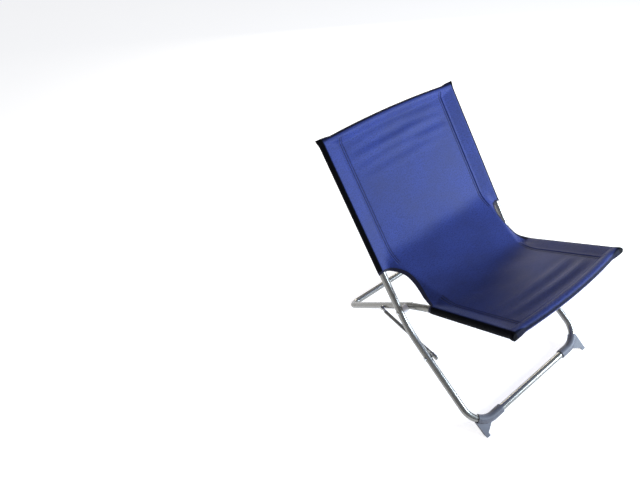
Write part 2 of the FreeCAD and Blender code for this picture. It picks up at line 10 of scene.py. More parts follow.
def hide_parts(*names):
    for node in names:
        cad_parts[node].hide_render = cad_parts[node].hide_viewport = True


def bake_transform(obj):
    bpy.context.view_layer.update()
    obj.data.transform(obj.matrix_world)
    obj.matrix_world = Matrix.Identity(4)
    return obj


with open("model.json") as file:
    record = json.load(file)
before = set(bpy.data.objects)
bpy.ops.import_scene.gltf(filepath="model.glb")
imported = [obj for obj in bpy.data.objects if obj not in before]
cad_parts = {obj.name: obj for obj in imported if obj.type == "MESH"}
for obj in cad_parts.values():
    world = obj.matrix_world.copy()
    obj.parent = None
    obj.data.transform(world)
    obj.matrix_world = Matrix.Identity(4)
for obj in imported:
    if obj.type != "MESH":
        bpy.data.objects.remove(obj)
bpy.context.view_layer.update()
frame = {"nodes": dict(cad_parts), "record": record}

bl_info = {
    "name": "Folding Camp Chair",
    "version": (1, 0, 0),
    "blender": (4, 5, 0),
    "location": "View3D > Sidebar > Camp Chair",
    "description": "Dresses the folding camp chair: sling, stitching, tubes, shoes and stage",
    "category": "Object",
}

TURN_STEPS = 9
CUT_STEPS = 48
PIVOT = Vector(frame["record"]["behaviour"]["joints"][0]["pos_m"])


# ---------------------------------------------------------------- settings


def length(name, text, value):
    return FloatProperty(name=name, description=text, default=value, unit="LENGTH", precision=5)


def angle(name, text, degrees):
    return FloatProperty(
        name=name, description=text, default=math.radians(degrees), subtype="ANGLE",
    )


def factor(name, text, value):
    return FloatProperty(
        name=name, description=text, default=value, subtype="FACTOR", min=0.0, max=1.0,
    )


def colour(name, text, value):
    return FloatVectorProperty(
        name=name, description=text, default=value, subtype="COLOR", size=3, min=0.0, max=1.0,
    )


class ChairLines(bpy.types.PropertyGroup):
    """Side lines of the two tube frames that the sling is hung on."""

    back_angle: angle("Back angle", "Slope of the backrest tubes", 55.5)
    back_length: length("Back length", "Pivot to the axis of the top bar", 0.471)
    rise_angle: angle("Rise angle", "Slope of the seat rail next to the pivot", 32.0)
    rise_length: length("Rise length", "Pivot to the bend of the seat rail", 0.085)
    rail_angle: angle("Rail angle", "Slope of the seat rail under the cloth", 25.5)
    rail_length: length("Rail length", "Rail bend to the axis of the front bar", 0.272)
    half_back: length("Half back", "Centre plane to the axis of a back tube", 0.2205)
    half_seat: length("Half seat", "Centre plane to the axis of a seat tube", 0.1885)
    top_bow: length("Top bow", "Rise of the top bar at its middle", 0.008)
    front_bow: length("Front bow", "Forward bow of the seat front bar", 0.015)


class SlingCut(bpy.types.PropertyGroup):
    """How the sling is cut, sewn and stretched."""

    cloth: length("Cloth", "Thickness of one layer of cloth", 0.001)
    sleeve: length("Sleeve", "Outer radius of the cloth around a tube", 0.0109)
    pocket: length("Back pocket width", "Outer edge of the back to the pocket seam", 0.053)
    seat_width: length("Seat pocket width", "Outer edge of the seat to its seam", 0.045)
    hem: length("Hem", "Edge of the sling to the hem seam", 0.029)
    back_pocket: length("Back pocket", "Pivot to the lower end of the back pockets", 0.113)
    seat_pocket: length("Seat pocket", "Rail bend to the rear end of the seat pockets", 0.012)
    back_leave: length("Back leave", "Pivot to where the waist leaves the backrest", 0.146)
    seat_meet: length("Seat meet", "Rail bend to where the waist meets the seat", 0.033)
    cut_depth: length("Cut-out depth", "Depth of the side cut-outs at the waist", 0.029)
    wrinkle: length("Wrinkle", "Depth of the tension folds", 0.0026)
    ear: length("Ear", "How far the sewn corners stand out", 0.0040)
    binding: length("Binding", "Width of the tape around the cut-outs", 0.008)
    stitch: length("Stitch", "Length of one stitch", 0.0027)
    pitch: length("Stitch pitch", "Distance from stitch to stitch", 0.0037)


class Finishes(bpy.types.PropertyGroup):
    """Colours of the chair's finishes, and the near-black colour of the painted shade on the sling's
    outer faces.
    """

    cloth: colour("Cloth", "Sling cloth", (0.028, 0.056, 0.315))
    cloth_low: colour("Cloth, low", "Sling cloth in its darker threads", (0.014, 0.028, 0.155))
    # Painted shade: near-black colour laid on the outer faces of the sleeves and hems, standing in
    # for the shade that falls there.
    painted_shade: colour("Band", "Outer faces of the sleeves and hems", (0.0025, 0.003, 0.005))
    tape: colour("Tape", "Binding tape", (0.012, 0.014, 0.045))
    thread: colour("Thread", "Sewing thread", (0.010, 0.012, 0.040))
    silver: colour("Silver", "Coating of the frame tubes", (0.30, 0.295, 0.275))
    shoe: colour("Shoe", "Plastic of the floor shoes", (0.135, 0.138, 0.165))
    spacer: colour("Spacer", "Plastic of the pivot spacers", (0.72, 0.72, 0.75))
    cap: colour("Cap", "Plastic of the tube end caps", (0.03, 0.03, 0.035))


class StageSettings(bpy.types.PropertyGroup):
    """Camera, floor and light."""

    eye: FloatVectorProperty(
        name="Eye", description="Place of the camera", subtype="TRANSLATION", size=3,
        default=(-0.8368, -0.6929, 1.2710),
    )
    heading: angle("Heading", "Camera heading, from +Y towards +X", 36.74)
    tilt: angle("Tilt", "Camera tilt below the horizon", 39.95)
    roll: angle("Roll", "Camera roll", -4.62)
    lens: FloatProperty(name="Lens", description="Focal length in mm", default=30.07)
    shift_x: FloatProperty(name="Shift", description="Sideways lens shift", default=-0.078)
    floor: colour("Floor", "Colour of the floor", (0.90, 0.90, 0.91))
    glow: FloatProperty(name="Glow", description="Own light of the floor", default=0.80)
    air: colour("Air", "Colour of the surroundings", (0.93, 0.95, 1.0))
    air_light: FloatProperty(name="Air light", description="Light from all around", default=0.17)


# ---------------------------------------------------------------- materials


def node(tree, kind, values=None, **settings):
    """A shader node with its settings and unlinked input values."""
    made = tree.nodes.new(kind)
    for key, value in settings.items():
        setattr(made, key, value)
    for key, value in (values or {}).items():
        made.inputs[key].default_value = value
    return made


def link(tree, source, target):
    tree.links.new(source, target)


def math_node(tree, operation, a, b=None):
    made = node(tree, "ShaderNodeMath", operation=operation)
    for index, value in enumerate((a, b)):
        if value is None:
            continue
        if isinstance(value, (int, float)):
            made.inputs[index].default_value = value
        else:
            link(tree, value, made.inputs[index])
    return made.outputs[0]


def base_material(name, values):
    """A new material with a Principled shader set to these values."""
    material = bpy.data.materials.new(name)
    material.use_nodes = True
    tree = material.node_tree
    shader = tree.nodes["Principled BSDF"]
    for key, value in values.items():
        shader.inputs[key].default_value = value
    return material, tree, shader


def mottled(tree, coords, scale, detail, low, high):
    """A colour that wanders between two colours with a noise."""
    noise = node(tree, "ShaderNodeTexNoise", {"Scale": scale, "Detail": detail})
    link(tree, coords, noise.inputs["Vector"])
    ramp = node(tree, "ShaderNodeValToRGB")
    ramp.color_ramp.elements[0].position = 0.32
    ramp.color_ramp.elements[0].color = (*low, 1)
    ramp.color_ramp.elements[1].position = 0.68
    ramp.color_ramp.elements[1].color = (*high, 1)
    link(tree, noise.outputs["Fac"], ramp.inputs["Fac"])
    return noise.outputs["Fac"], ramp.outputs["Color"]


def ranged(tree, source, low, high):
    made = node(tree, "ShaderNodeMapRange", {"To Min": low, "To Max": high})
    link(tree, source, made.inputs["Value"])
    return made.outputs["Result"]


def bump(tree, height, strength, distance, under=None):
    made = node(tree, "ShaderNodeBump", {"Strength": strength, "Distance": distance})
    link(tree, height, made.inputs["Height"])
    if under is not None:
        link(tree, under, made.inputs["Normal"])
    return made.outputs["Normal"]


def scaled(tint, by):
    return tuple(min(1.0, part * by) for part in tint)


def woven(name, high, low, pitch, sheen, painted_shade=None):
    """Tightly woven coated polyester, on the flat cut's own coordinates, with painted shade on the
    outer faces of the sleeves and hems and in the stitch-line grooves.
    """
    material, tree, shader = base_material(name, {
        "Roughness": 0.56, "Sheen Weight": sheen, "Sheen Roughness": 0.42,
        "Sheen Tint": (0.95, 0.93, 0.95, 1.0), "Specular IOR Level": 0.28,
    })
    flat = node(tree, "ShaderNodeUVMap", uv_map="flat")
    split = node(tree, "ShaderNodeSeparateXYZ")
    link(tree, flat.outputs["UV"], split.inputs[0])
    turn = 2 * math.pi / pitch
    warp = math_node(tree, "SINE", math_node(tree, "MULTIPLY", split.outputs["X"], turn))
    weft = math_node(tree, "SINE", math_node(tree, "MULTIPLY", split.outputs["Y"], turn))
    weave = math_node(tree, "MULTIPLY", warp, weft)
    slub = node(tree, "ShaderNodeTexNoise", {"Scale": 1.0, "Detail": 2.0})
    stretch = node(tree, "ShaderNodeMapping", {"Scale": (45.0, 1400.0, 1.0)})
    link(tree, flat.outputs["UV"], stretch.inputs["Vector"])
    link(tree, stretch.outputs["Vector"], slub.inputs["Vector"])
    grain_at = node(tree, "ShaderNodeMapping", {"Scale": (240.0, 240.0, 1.0)})
    link(tree, flat.outputs["UV"], grain_at.inputs["Vector"])
    grain = node(tree, "ShaderNodeTexNoise", {"Scale": 1.0, "Detail": 3.0, "Roughness": 0.7})
    link(tree, grain_at.outputs["Vector"], grain.inputs["Vector"])
    cloud, tint = mottled(tree, flat.outputs["UV"], 9.0, 3.0, scaled(low, 1.35), high)
    mix = math_node(tree, "ADD", math_node(tree, "MULTIPLY", weave, 0.10),
                    math_node(tree, "MULTIPLY", slub.outputs["Fac"], 0.45))
    mix = math_node(tree, "ADD", mix, math_node(tree, "MULTIPLY", grain.outputs["Fac"], 0.75))
    shade = node(tree, "ShaderNodeMix", data_type="RGBA", blend_type="MIX")
    link(tree, ranged(tree, mix, -3.3, 3.4), shade.inputs["Factor"])
    shade.inputs["A"].default_value = (*low, 1)
    link(tree, tint, shade.inputs["B"])
    result = shade.outputs["Result"]
    # Painted shade: the grooves beside the stitch lines and the outer faces of the sleeves and hems
    # are mixed towards the near-black shade colour, standing in for the shade that falls there.
    for attribute, share in (("seam", 0.72), ("painted_shade", 1.0)) if painted_shade else ():
        darker = node(tree, "ShaderNodeMix", data_type="RGBA", blend_type="MIX")
        mark = node(tree, "ShaderNodeAttribute", attribute_name=attribute)
        link(tree, math_node(tree, "MULTIPLY", mark.outputs["Fac"], share), darker.inputs["Factor"])
        link(tree, result, darker.inputs["A"])
        darker.inputs["B"].default_value = (*painted_shade, 1)
        result = darker.outputs["Result"]
    link(tree, result, shader.inputs["Base Color"])
    # Painted shade: on the outer faces of the sleeves and hems the sheen and the specular level fade
    # out, so that these faces stay dark.
    if painted_shade:
        mark = node(tree, "ShaderNodeAttribute", attribute_name="painted_shade")
        link(tree, ranged(tree, mark.outputs["Fac"], sheen, 0.0), shader.inputs["Sheen Weight"])
        gloss = ranged(tree, mark.outputs["Fac"], 0.28, 0.04)
        link(tree, gloss, shader.inputs["Specular IOR Level"])
    link(tree, ranged(tree, cloud, 0.48, 0.64), shader.inputs["Roughness"])
    folds = bump(tree, cloud, 0.12, 0.002)
    threads = math_node(tree, "ADD", weave, math_node(tree, "MULTIPLY", grain.outputs["Fac"], 0.8))
    link(tree, bump(tree, threads, 0.35, 0.00018, folds), shader.inputs["Normal"])
    return material


def coated_tube(name, tint):
    """Satin silver coating: fine flakes and worn spots."""
    material, tree, shader = base_material(name, {
        "Metallic": 0.62, "Roughness": 0.30, "Specular IOR Level": 0.5,
        "Coat Weight": 0.10, "Coat Roughness": 0.15,
    })
    place = node(tree, "ShaderNodeTexCoord").outputs["Object"]
    flakes, flake_tint = mottled(tree, place, 900.0, 2.0, scaled(tint, 0.90), scaled(tint, 1.08))
    stains, stain_tint = mottled(tree, place, 14.0, 4.0, scaled(tint, 0.84), tint)
    shade = node(tree, "ShaderNodeMix", {"Factor": 0.5}, data_type="RGBA")
    link(tree, flake_tint, shade.inputs["A"])
    link(tree, stain_tint, shade.inputs["B"])
    link(tree, shade.outputs["Result"], shader.inputs["Base Color"])
    link(tree, ranged(tree, stains, 0.20, 0.32), shader.inputs["Roughness"])
    link(tree, bump(tree, flakes, 0.10, 0.00012), shader.inputs["Normal"])
    return material


def plated(name, tint):
    """Zinc-plated steel with dull spots."""
    material, tree, shader = base_material(name, {"Metallic": 1.0, "Roughness": 0.28})
    place = node(tree, "ShaderNodeTexCoord").outputs["Object"]
    spots, spot_tint = mottled(tree, place, 160.0, 5.0, scaled(tint, 0.70), tint)
    link(tree, spot_tint, shader.inputs["Base Color"])
    link(tree, ranged(tree, spots, 0.20, 0.45), shader.inputs["Roughness"])
    link(tree, bump(tree, spots, 0.12, 0.0001), shader.inputs["Normal"])
    return material


def moulded(name, tint, roughness, grain, wear):
    """Moulded plastic: fine spark grain and a mottled haze of wear."""
    material, tree, shader = base_material(name, {
        "Roughness": roughness, "Specular IOR Level": 0.42,
    })
    place = node(tree, "ShaderNodeTexCoord").outputs["Object"]
    haze, haze_tint = mottled(tree, place, 26.0, 5.0, scaled(tint, 1 - wear), scaled(tint, 1 + wear))
    link(tree, haze_tint, shader.inputs["Base Color"])
    spark = node(tree, "ShaderNodeTexNoise", {"Scale": grain, "Detail": 2.0})
    link(tree, place, spark.inputs["Vector"])
    link(tree, ranged(tree, haze, roughness - 0.08, roughness + 0.12), shader.inputs["Roughness"])
    link(tree, bump(tree, spark.outputs["Fac"], 0.16, 0.0002), shader.inputs["Normal"])
    return material


def give(piece, material):
    piece.data.materials.clear()
    piece.data.materials.append(material)


# ---------------------------------------------------------------- sling shape


def smooth(value):
    value = max(0.0, min(1.0, value))
    return value * value * (3 - 2 * value)


def slant(start, distance, radians):
    """Point in the side plane, as (y, z), at a distance from another one."""
    return Vector((
        start[0] + distance * math.cos(radians), start[1] + distance * math.sin(radians),
    ))


class Line:
    """A side line with rounded corners, measured by its length."""

    STEPS = 12
    SPREAD = 0.004

    def __init__(self, points, reaches):
        self.points = [points[0]]
        for before, corner, after, reach in zip(points, points[1:], points[2:], reaches):
            first = corner + (before - corner).normalized() * reach
            last = corner + (after - corner).normalized() * reach
            for step in range(self.STEPS + 1):
                t = step / self.STEPS
                self.points.append(
                    first * (1 - t) ** 2 + corner * 2 * t * (1 - t) + last * t * t
                )
        self.points.append(points[-1])
        self.marks = [0.0]
        for a, b in zip(self.points, self.points[1:]):
            self.marks.append(self.marks[-1] + (b - a).length)
        self.total = self.marks[-1]

    def at(self, distance):
        """Point and direction; beyond an end the line runs straight on."""
        index = 0
        while index < len(self.marks) - 2 and distance > self.marks[index + 1]:
            index += 1
        a, b = self.points[index], self.points[index + 1]
        way = (b - a).normalized()
        point = a + way * (distance - self.marks[index])
        return point, way

    def smooth_at(self, distance):
        """Point, direction and normal, with the direction averaged over a short stretch."""
        point, way = self.at(distance)
        ahead = self.at(distance + self.SPREAD)[1]
        behind = self.at(distance - self.SPREAD)[1]
        way = (way + ahead + behind).normalized()
        return point, way, Vector((way[1], -way[0]))


class SlingForm:
    """The stretched sling: where each point of the cloth lies."""

    # Edge of a cut-out where it leaves a pocket, outward from the tube axis.
    BACK_CATCH = -0.005
    SEAT_CATCH = 0.003
    # Share of the waist over which a cut-out reaches its full depth.
    DEEPEST = 0.3

    def __init__(self, lines, cut):
        self.lines = lines
        self.cut = cut
        pivot = Vector((PIVOT.y, PIVOT.z))
        out = math.pi - lines.rail_angle
        bend = slant(pivot, lines.rise_length, math.pi - lines.rise_angle)
        top = slant(pivot, lines.back_length, lines.back_angle)
        front = slant(bend, lines.rail_length, out)
        self.back_end = slant(pivot, cut.back_pocket, lines.back_angle)
        self.seat_start = slant(bend, cut.seat_pocket, out)
        leave = slant(pivot, cut.back_leave, lines.back_angle)
        meet = slant(bend, cut.seat_meet, out)
        self.edge = Line([top, self.back_end, self.seat_start, front], [0.008, 0.008])
        self.centre = Line([top, leave, meet, front], [0.026, 0.040])
        self.back_run = lines.back_length - cut.back_pocket
        self.seat_run = lines.rail_length - cut.seat_pocket
        self.waist_run = (self.back_end - self.seat_start).length
        self.total = self.back_run + self.waist_run + self.seat_run

    def half(self, g):
        """Centre plane to the tube axis, at distance g down the cloth."""
        t = (g - self.back_run) / self.waist_run
        t = max(0.0, min(1.0, t))
        return self.lines.half_back + (self.lines.half_seat - self.lines.half_back) * t

    def teardrop(self, inward, seam):
        """Height of a sleeve from its tube axis (0) to its seam, per unit of radius."""
        radius = self.cut.sleeve
        if inward <= 0:
            return 1.0
        reach = radius * radius / seam
        if inward < reach:
            return math.sqrt(radius * radius - inward * inward) / radius
        touch = math.sqrt(radius * radius - reach * reach) / radius
        return max(0.0, touch * (seam - inward) / (seam - reach))

    def pocket(self, g):
        """Width of the side pocket, outer edge to seam."""
        t = max(0.0, min(1.0, (g - self.back_run) / self.waist_run))
        return self.cut.pocket + (self.cut.seat_width - self.cut.pocket) * t

    def waist_edge(self, t):
        """Half width of the cloth at the cut-outs, from back (0) to seat (1)."""
        first = self.lines.half_back + self.BACK_CATCH
        last = self.lines.half_seat + self.SEAT_CATCH
        if t < self.DEEPEST:
            deep = (1 - (1 - t / self.DEEPEST) ** 1.7) ** (1 / 1.7)
        else:
            deep = 1 - ((t - self.DEEPEST) / (1 - self.DEEPEST)) ** 1.9
        return first + (last - first) * t - self.cut.cut_depth * deep

    def sides(self, x, g):
        """How much of the pocket's rise and of its outer rounding is left here."""
        radius = self.cut.sleeve
        inward = self.half(g) + radius + self.ear_out(g) - abs(x)
        edge = radius + self.ear_out(g)
        rise = self.teardrop(inward - edge, self.pocket(g) - radius)
        rounding = 1.0
        if inward < edge:
            rounding = math.sqrt(max(0.0, 1 - (1 - inward / edge) ** 2))
        t = (g - self.back_run) / self.waist_run
        if 0 < t < 1:
            rise *= max(1 - smooth(t / 0.30), smooth((t - 0.72) / 0.28))
        return max(0.0, rise), rounding

    def ear_out(self, g):
        near = min(g + self.cut.sleeve, self.total + self.cut.sleeve - g)
        return self.cut.ear * (1 - smooth(near / 0.016))

    def ear_up(self, x, g):
        """How much further the hem reaches at its two ends, to close the corner."""
        near = self.half(g) + self.cut.sleeve - abs(x)
        return self.cut.ear * (1 - smooth((near - 0.012) / 0.03))

    def ends(self, x, g):
        """The same as sides, for the hems around the two cross bars."""
        radius = self.cut.sleeve
        depth = min(g, self.total - g)
        edge = radius + self.ear_up(x, g)
        rise = self.teardrop(depth, self.cut.hem - radius)
        rounding = 1.0
        if depth < 0:
            sharp = 2.0 + 1.2 * self.ear_up(x, g) / max(self.cut.ear, 1e-6)
            rounding = max(0.0, 1 - min(1.0, -depth / edge) ** sharp) ** (1 / sharp)
        return max(0.0, rise), rounding

    def folds(self, x, g):
        """Tension folds of the free cloth, away from seams and tubes."""
        depth = self.cut.wrinkle
        half = self.half(g)
        across = max(0.0, 1 - (abs(x) / (half - 0.045)) ** 4)
        top = math.exp(-((g - 0.070) / 0.050) ** 2)
        ripple = math.sin(2 * math.pi * (g + 0.004 * math.sin(9 * x + 1)) / 0.030)
        second = math.sin(2 * math.pi * (g + 0.16 * abs(x) + 0.012 * math.sin(14 * x)) / 0.061)
        value = top * (0.55 * ripple + 0.45 * second)
        ahead = self.total - g
        front = math.exp(-((ahead - 0.060) / 0.050) ** 2)
        value += 1.35 * front * math.sin(2 * math.pi * (ahead + 0.006 * math.sin(11 * x)) / 0.044)
        t = (g - self.back_run - self.waist_run * 0.5) / 0.16
        middle = math.exp(-t * t)
        value += 0.55 * middle * math.sin(2 * math.pi * (g * 0.8 - 0.5 * x) / 0.085)
        return depth * value * across

    def place(self, x, g, upper=True, lift=0.0):
        """Point of the cloth's outer face at x across and g down the sling."""
        cut = self.cut
        if g <= self.back_run:
            along_edge = along_centre = g
        elif g >= self.back_run + self.waist_run:
            along_edge = self.edge.total - (self.total - g)
            along_centre = self.centre.total - (self.total - g)
        else:
            t = (g - self.back_run) / self.waist_run
            edge_end = self.edge.total - self.seat_run
            centre_end = self.centre.total - self.seat_run
            along_edge = self.back_run + (edge_end - self.back_run) * t
            along_centre = self.back_run + (centre_end - self.back_run) * t
        half = self.half(g)
        free = half - cut.sleeve
        inner = smooth((free - abs(x)) / 0.034)
        edge_point, edge_way, edge_normal = self.edge.smooth_at(along_edge)
        mid_point, mid_way, mid_normal = self.centre.smooth_at(along_centre)
        point = edge_point.lerp(mid_point, inner)
        way = edge_way.lerp(mid_way, inner).normalized()
        normal = edge_normal.lerp(mid_normal, inner).normalized()
        bow = max(0.0, 1 - (x / (half - 0.004)) ** 2)
        if g < self.back_run:
            share = min(1.0, (self.back_run - g) / (self.back_run - 0.04))
            point = point - way * (self.lines.top_bow * bow * share)
        ahead = self.total - g
        if ahead < self.seat_run:
            share = min(1.0, (self.seat_run - ahead) / (self.seat_run - 0.04))
            point = point + way * (self.lines.front_bow * bow * share)
        side_rise, side_round = self.sides(x, g)
        end_rise, end_round = self.ends(x, g)
        rise = max(side_rise, end_rise)
        least = cut.cloth * (0.5 if upper else 1.6)
        height = (least + (cut.sleeve - least) * rise) * min(side_round, end_round)
        height = height if upper else -height
        height += self.folds(x, g) * (1 - rise) ** 2
        height += lift if upper else -lift
        point = point + normal * height
        return Vector((x, point[0], point[1]))


# ---------------------------------------------------------------- sling mesh


class SlingGrid:
    """Lines of the cloth's mesh: columns across, rows down."""

    panel = 22
    seam = 16
    slope = 8
    tube = 9
    turn = 8
    hem_steps = 8
    hem_rest = 10
    turned_in = 8
    back = 46
    waist = 32
    seat = 36

    def __init__(self, form):
        self.form = form
        self.side = self.panel + self.seam + self.slope + self.tube
        self.inner = self.panel + self.seam + self.slope
        radius = form.cut.sleeve
        hem = form.cut.hem - radius
        ends = [-math.cos(math.pi / 2 * k / self.turn) for k in range(self.turn)]
        fine = [hem * k / self.hem_steps for k in range(self.hem_steps + 1)]
        fine += [hem + 0.001 * k for k in range(1, self.hem_rest + 1)]
        start = fine[-1]
        rows = [("end", value) for value in ends] + [("run", value) for value in fine]
        rows += [("run", start + (form.back_run - start) * k / self.back)
                 for k in range(1, self.back + 1)]
        self.back_rows = len(rows) - 1
        for k in range(1, self.waist):
            t = (1 - math.cos(math.pi * k / self.waist)) / 2
            rows.append(("run", form.back_run + form.waist_run * t))
        self.seat_rows = len(rows)
        first = form.back_run + form.waist_run
        last = form.total - start
        rows += [("run", first + (last - first) * k / self.seat) for k in range(self.seat)]
        rows += [("run", form.total - value) for value in reversed(fine)]
        rows += [("front", -value) for value in reversed(ends)]
        self.rows = rows
        self.hem_row = self.turn + self.hem_steps + self.turned_in
        self.front_row = len(rows) - 1 - self.hem_row

    def down(self, x, row):
        """Distance down the cloth of a row, at x."""
        kind, value = self.rows[row]
        if kind == "run":
            return value
        total = self.form.total
        if kind == "end":
            return value * (self.form.cut.sleeve + self.form.ear_up(x, 0.0))
        return total + value * (self.form.cut.sleeve + self.form.ear_up(x, total))

    def across(self, column, row):
        """Distance across the cloth of a column, at a row."""
        form = self.form
        kind, value = self.rows[row]
        g = 0.0 if kind == "end" else (form.total if kind == "front" else value)
        edge_g = self.down(form.half(g), row)
        t = max(0.0, min(1.0, (g - form.back_run) / form.waist_run))
        half = form.half(g)
        radius = form.cut.sleeve
        seam = half + radius - form.pocket(g)
        first = form.BACK_CATCH * (1 - t) + form.SEAT_CATCH * t
        limit = half + first
        k = abs(column)
        sign = -1 if column < 0 else 1
        if k <= self.panel:
            x = (seam - 0.012) * k / self.panel
        elif k <= self.panel + self.seam:
            x = seam - 0.012 + 0.016 * (k - self.panel) / self.seam
        elif k <= self.inner:
            x = seam + 0.004
            x += (limit - x) * (k - self.panel - self.seam) / self.slope
        else:
            start = math.asin(max(-1.0, min(1.0, first / radius)))
            turn = start + (math.pi / 2 - start) * (k - self.inner) / self.tube
            x = half + math.sin(turn) * (radius + form.ear_out(edge_g))
        if 0 < t < 1:
            x *= form.waist_edge(t) / limit
        return sign * x

    def used(self, column, row):
        return abs(column) <= self.inner or row <= self.back_rows or row >= self.seat_rows

    def doubled(self, column, row):
        """Whether the turned-in layer of a pocket or hem covers this vertex."""
        if self.back_rows < row < self.seat_rows:
            return False
        pocket = abs(column) >= self.panel + self.seam // 2
        return pocket or row <= self.hem_row or row >= self.front_row


def seam_lines(form, x, g):
    """How near a point is to the stitch lines (0 to 1), and to the ridge beside them; the first also
    masks the painted shade in the stitch-line grooves.
    """
    depth = min(g, form.total - g)
    t = (g - form.back_run) / form.waist_run
    near = []
    if not 0 < t < 1 and depth > 0.004:
        d = form.half(g) + form.cut.sleeve - form.pocket(g) - abs(x)
        near.append(d)
    line = max((max(math.exp(-((d - 0.0015) / 0.0011) ** 2),
                    math.exp(-((d - 0.0075) / 0.0011) ** 2)) for d in near), default=0.0)
    ridge = max((math.exp(-((d + 0.0018) / 0.0018) ** 2) for d in near), default=0.0)
    return line, ridge


def seam_groove(form, x, g):
    """Height of the ridge and of the pulled-in stitch lines of a seam."""
    line, ridge = seam_lines(form, x, g)
    return 0.0010 * ridge - 0.0009 * line


def painted_shade_mask(form, x, g):
    """Mask of the painted shade: 1 on the outer faces of the side sleeves and of the two hems, else
    0.
    """
    radius = form.cut.sleeve
    t = (g - form.back_run) / form.waist_run
    side = (abs(x) - form.half(g)) / radius if not 0.02 < t < 0.98 else -1.0
    top = smooth((-g / radius - 0.30) / 0.30) * 0.85
    front = smooth(((g - form.total) / radius - 0.80) / 0.20) * 0.9
    return max(smooth((side + 0.02) / 0.24), top, front)


def sling_mesh(form):
    """One cloth: the open face, and the layer turned in at pockets and hems."""
    grid = SlingGrid(form)
    count = len(grid.rows)
    side = grid.side
    mesh = bpy.data.meshes.new("sling")
    bm = bmesh.new()
    uv = bm.loops.layers.uv.new("flat")
    # Painted shade mask: the outer faces of the sleeves and hems are darkened through this
    # attribute.
    painted_shade = bm.verts.layers.float.new("painted_shade")
    # Painted shade mask: the grooves beside the stitch lines are darkened through this attribute.
    seam = bm.verts.layers.float.new("seam")
    corner = {}
    flat = {}
    for upper in (True, False):
        made = bmesh.ops.create_grid(
            bm, x_segments=2 * side, y_segments=count - 1, size=1.0,
        )["verts"]
        for vert in made:
            column = round((vert.co.x + 1) / 2 * 2 * side) - side
            row = round((vert.co.y + 1) / 2 * (count - 1))
            corner[upper, column, row] = vert
    doomed = []
    for (upper, column, row), vert in corner.items():
        keep = grid.used(column, row) and (upper or grid.doubled(column, row))
        if not keep:
            doomed.append(vert)
            continue
        x = grid.across(column, row)
        g = grid.down(x, row)
        lift = seam_groove(form, x, g) if upper else 0.0
        vert.co = form.place(x, g, upper, lift)
        vert[painted_shade] = painted_shade_mask(form, x, g)
        vert[seam] = seam_lines(form, x, g)[0]
        reach = form.half(g) + form.cut.sleeve
        wide = abs(x) if upper else 2 * reach - abs(x)
        flat[vert] = (math.copysign(wide, x) if column else 0.0, g if upper else g + 0.5)
    lower = {vert for (upper, *_), vert in corner.items() if not upper}
    bmesh.ops.delete(bm, geom=doomed, context="VERTS")
    for face in bm.faces:
        for loop in face.loops:
            loop[uv].uv = flat[loop.vert]
    turned = [face for face in bm.faces if face.verts[0] in lower]
    bmesh.ops.reverse_faces(bm, faces=turned)
    bmesh.ops.remove_doubles(bm, verts=list(bm.verts), dist=0.00002)
    for face in bm.faces:
        face.smooth = True
    up = [face for face in bm.faces if face.normal.z > 0]
    if len(up) < len(bm.faces) / 2:
        bmesh.ops.reverse_faces(bm, faces=list(bm.faces))
    bm.to_mesh(mesh)
    bm.free()
    return mesh


def thicken(piece, thickness, offset):
    wall = piece.modifiers.new("cloth", "SOLIDIFY")
    wall.thickness = thickness
    wall.offset = offset
    wall.use_even_offset = False


def add_piece(name, mesh, material):
    piece = bpy.data.objects.new(name, mesh)
    bpy.context.scene.collection.objects.link(piece)
    give(piece, material)
    return piece


def bend_with_waist(piece):
    """Bake the piece's transform into its mesh."""
    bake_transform(piece)


def around_tube(form, half, catch):
    """Steps across a sleeve's end, from its seam side to its outermost point."""
    radius = form.cut.sleeve
    low = math.asin(catch / radius)
    turns = [low + (math.pi / 2 - low) * k / TURN_STEPS for k in range(1, TURN_STEPS + 1)]
    return [half + math.sin(turn) * radius * 0.999 for turn in turns]


def cut_path(form, side):
    """Edge of one cut-out with both pocket ends, as (x, g) on the flat cloth."""
    seat_run = form.back_run + form.waist_run
    round_back = around_tube(form, form.lines.half_back, form.BACK_CATCH)
    round_seat = around_tube(form, form.lines.half_seat, form.SEAT_CATCH)
    path = [(x, form.back_run) for x in reversed(round_back)]
    for k in range(CUT_STEPS + 1):
        t = (1 - math.cos(math.pi * k / CUT_STEPS)) / 2
        path.append((form.waist_edge(t), form.back_run + form.waist_run * t))
    path += [(x, seat_run) for x in round_seat]
    return [(side * x, g) for x, g in path]


